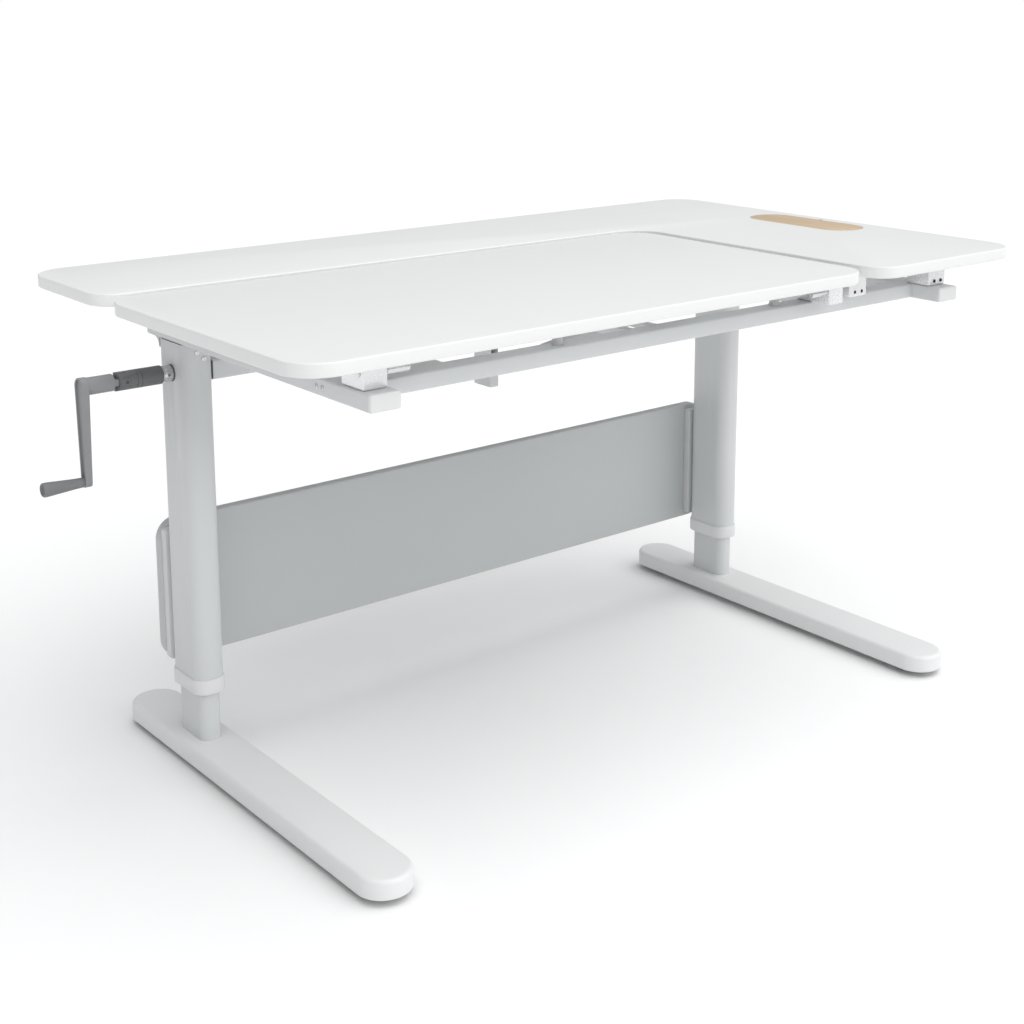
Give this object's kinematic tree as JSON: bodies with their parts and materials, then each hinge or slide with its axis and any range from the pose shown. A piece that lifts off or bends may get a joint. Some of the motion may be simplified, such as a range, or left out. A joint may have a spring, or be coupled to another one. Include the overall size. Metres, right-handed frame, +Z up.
{
  "type": "height adjustable desk",
  "caption": "Crank-raised desk: L-shaped fixed top with a lift-off cable cover, tilting front panel, telescopic columns on long feet, modesty panel.",
  "frame": {"origin": "on the floor, under the middle of the desk's outline with its crank; the worktop's middle lies 39.75 mm to the right of it", "axes": "+X to the sitter's right along the worktop, +Y to the back of the desk, +Z up"},
  "size_m": [1.2796, 0.7, 0.64],
  "materials": {
    "worktop": "white melamine laminate, satin",
    "frame": "white powder coat, fine texture",
    "foot": "white powder coat, fine texture",
    "bracket": "white powder coat on folded sheet",
    "white_plastic": "moulded plastic",
    "nylon": "natural nylon",
    "modesty": "light grey laminate, satin",
    "oak": "light oak veneer, satin lacquer",
    "pad": "dark grey rubber",
    "bumper": "light grey rubber",
    "steel": "bright zinc-plated steel",
    "black_steel": "black oxide steel",
    "bronze": "sintered bronze",
    "gear": "hardened steel",
    "housing": "die-cast alloy",
    "crank_dark": "dark grey moulded plastic",
    "crank_grey": "grey painted steel",
    "grip": "grey moulded plastic",
    "strut_grey": "grey painted steel tube"
  },
  "bodies": {
    "left_leg": {"left_foot": "foot", "left_inner_tube": "frame", "left_upper_glide": "nylon", "left_spindle_nut": "bronze"},
    "right_leg": {"right_foot": "foot", "right_inner_tube": "frame", "right_upper_glide": "nylon", "right_spindle_nut": "bronze"},
    "left_front_pad": {"left_front_pad": "pad"},
    "left_rear_pad": {"left_rear_pad": "pad"},
    "right_front_pad": {"right_front_pad": "pad"},
    "right_rear_pad": {"right_rear_pad": "pad"},
    "upper_frame": {"left_outer_tube": "frame", "right_outer_tube": "frame", "column_collars": "white_plastic", "lower_glides": "nylon", "left_arm": "frame", "right_arm": "frame", "arm_caps": "white_plastic", "gussets": "frame", "front_beam": "frame", "rear_beam": "frame", "side_bars": "frame", "middle_bar": "frame", "shaft_cover": "frame", "shaft_cover_collars": "crank_dark", "strut_post": "frame", "strut_post_pin": "steel", "hinge_brackets": "bracket", "hinge_pins": "steel", "top_brackets": "bracket", "bracket_bolts": "black_steel", "fixed_top": "worktop", "board_screws": "steel", "bumpers": "bumper", "modesty_panel": "modesty", "modesty_spacers": "frame", "gear_housings": "housing", "shaft_bushes": "bronze", "spindle_bearings": "steel"},
    "drive_shaft": {"cross_shaft": "steel", "drive_gears": "gear", "crank_socket": "steel", "crank_sleeve": "crank_dark", "knuckle_fork": "crank_dark", "knuckle_pin": "steel"},
    "crank_handle": {"crank_tube": "crank_grey", "crank_arm": "crank_grey", "grip_pin": "steel"},
    "crank_grip": {"crank_grip": "grip"},
    "left_spindle": {"left_spindle": "steel", "left_spindle_gear": "gear"},
    "right_spindle": {"right_spindle": "steel", "right_spindle_gear": "gear"},
    "tilt_panel": {"tilt_panel": "worktop", "hinge_leaves": "steel", "strut_upper_bracket": "steel"},
    "strut_rod": {"strut_rod": "steel"},
    "strut_cylinder": {"strut_cylinder": "strut_grey"},
    "cable_cover": {"cable_cover": "oak"}
  },
  "joints": [
    {"name": "lift", "type": "slide", "parent": "left_leg", "child": "upper_frame", "axis": [0, 0, 1], "range_m": [-0.05, 0.15]},
    {"name": "right_leg_slide", "type": "slide", "parent": "upper_frame", "child": "right_leg", "axis": [0, 0, -1], "range_m": [-0.05, 0.15]},
    {"name": "crank_turn", "type": "hinge", "parent": "upper_frame", "child": "drive_shaft", "pos_m": [-0.44175, 0.138, 0.528], "axis": [1, 0, 0], "range_deg": [-3601, 10801]},
    {"name": "left_spindle_turn", "type": "hinge", "parent": "upper_frame", "child": "left_spindle", "pos_m": [-0.44175, 0.138, 0.4], "axis": [0, 0, 1], "range_deg": [-3601, 10801]},
    {"name": "right_spindle_turn", "type": "hinge", "parent": "upper_frame", "child": "right_spindle", "pos_m": [0.52125, 0.138, 0.4], "axis": [0, 0, 1], "range_deg": [-3601, 10801]},
    {"name": "crank_fold", "type": "hinge", "parent": "drive_shaft", "child": "crank_handle", "pos_m": [-0.52775, 0.138, 0.528], "axis": [0, 0, -1], "range_deg": [0, 90]},
    {"name": "grip_spin", "type": "hinge", "parent": "crank_handle", "child": "crank_grip", "pos_m": [-0.61025, 0.138, 0.408], "axis": [1, 0, 0], "continuous": true},
    {"name": "tilt", "type": "hinge", "parent": "upper_frame", "child": "tilt_panel", "pos_m": [0.03975, -0.29, 0.606], "axis": [1, 0, 0], "range_deg": [0, 40]},
    {"name": "strut_swing", "type": "hinge", "parent": "upper_frame", "child": "strut_rod", "pos_m": [0.03975, 0.138, 0.455], "axis": [1, 0, 0], "range_deg": [-5.2, 0.3]},
    {"name": "strut_extend", "type": "slide", "parent": "strut_rod", "child": "strut_cylinder", "axis": [0, -0.9251, 0.3797], "range_m": [-0.0005, 0.0285]},
    {"name": "left_front_pad", "type": "slide", "parent": "left_leg", "child": "left_front_pad", "axis": [0, 0, -1], "range_m": [0, 0.008]},
    {"name": "left_rear_pad", "type": "slide", "parent": "left_leg", "child": "left_rear_pad", "axis": [0, 0, -1], "range_m": [0, 0.008]},
    {"name": "right_front_pad", "type": "slide", "parent": "right_leg", "child": "right_front_pad", "axis": [0, 0, -1], "range_m": [0, 0.008]},
    {"name": "right_rear_pad", "type": "slide", "parent": "right_leg", "child": "right_rear_pad", "axis": [0, 0, -1], "range_m": [0, 0.008]},
    {"name": "cover_lift", "type": "slide", "parent": "upper_frame", "child": "cable_cover", "axis": [0, 0, 1], "range_m": [0, 0.03]}
  ],
  "couplings": [
    {"joint": "right_leg_slide", "follows": "lift", "ratio": 1},
    {"joint": "crank_turn", "follows": "lift", "rad_per_m": 1256.6},
    {"joint": "left_spindle_turn", "follows": "lift", "rad_per_m": 1256.6},
    {"joint": "right_spindle_turn", "follows": "lift", "rad_per_m": 1256.6},
    {"joint": "strut_swing", "follows": "tilt", "ratio": -0.12212},
    {"joint": "strut_extend", "follows": "tilt", "m_per_rad": 0.040114}
  ]
}
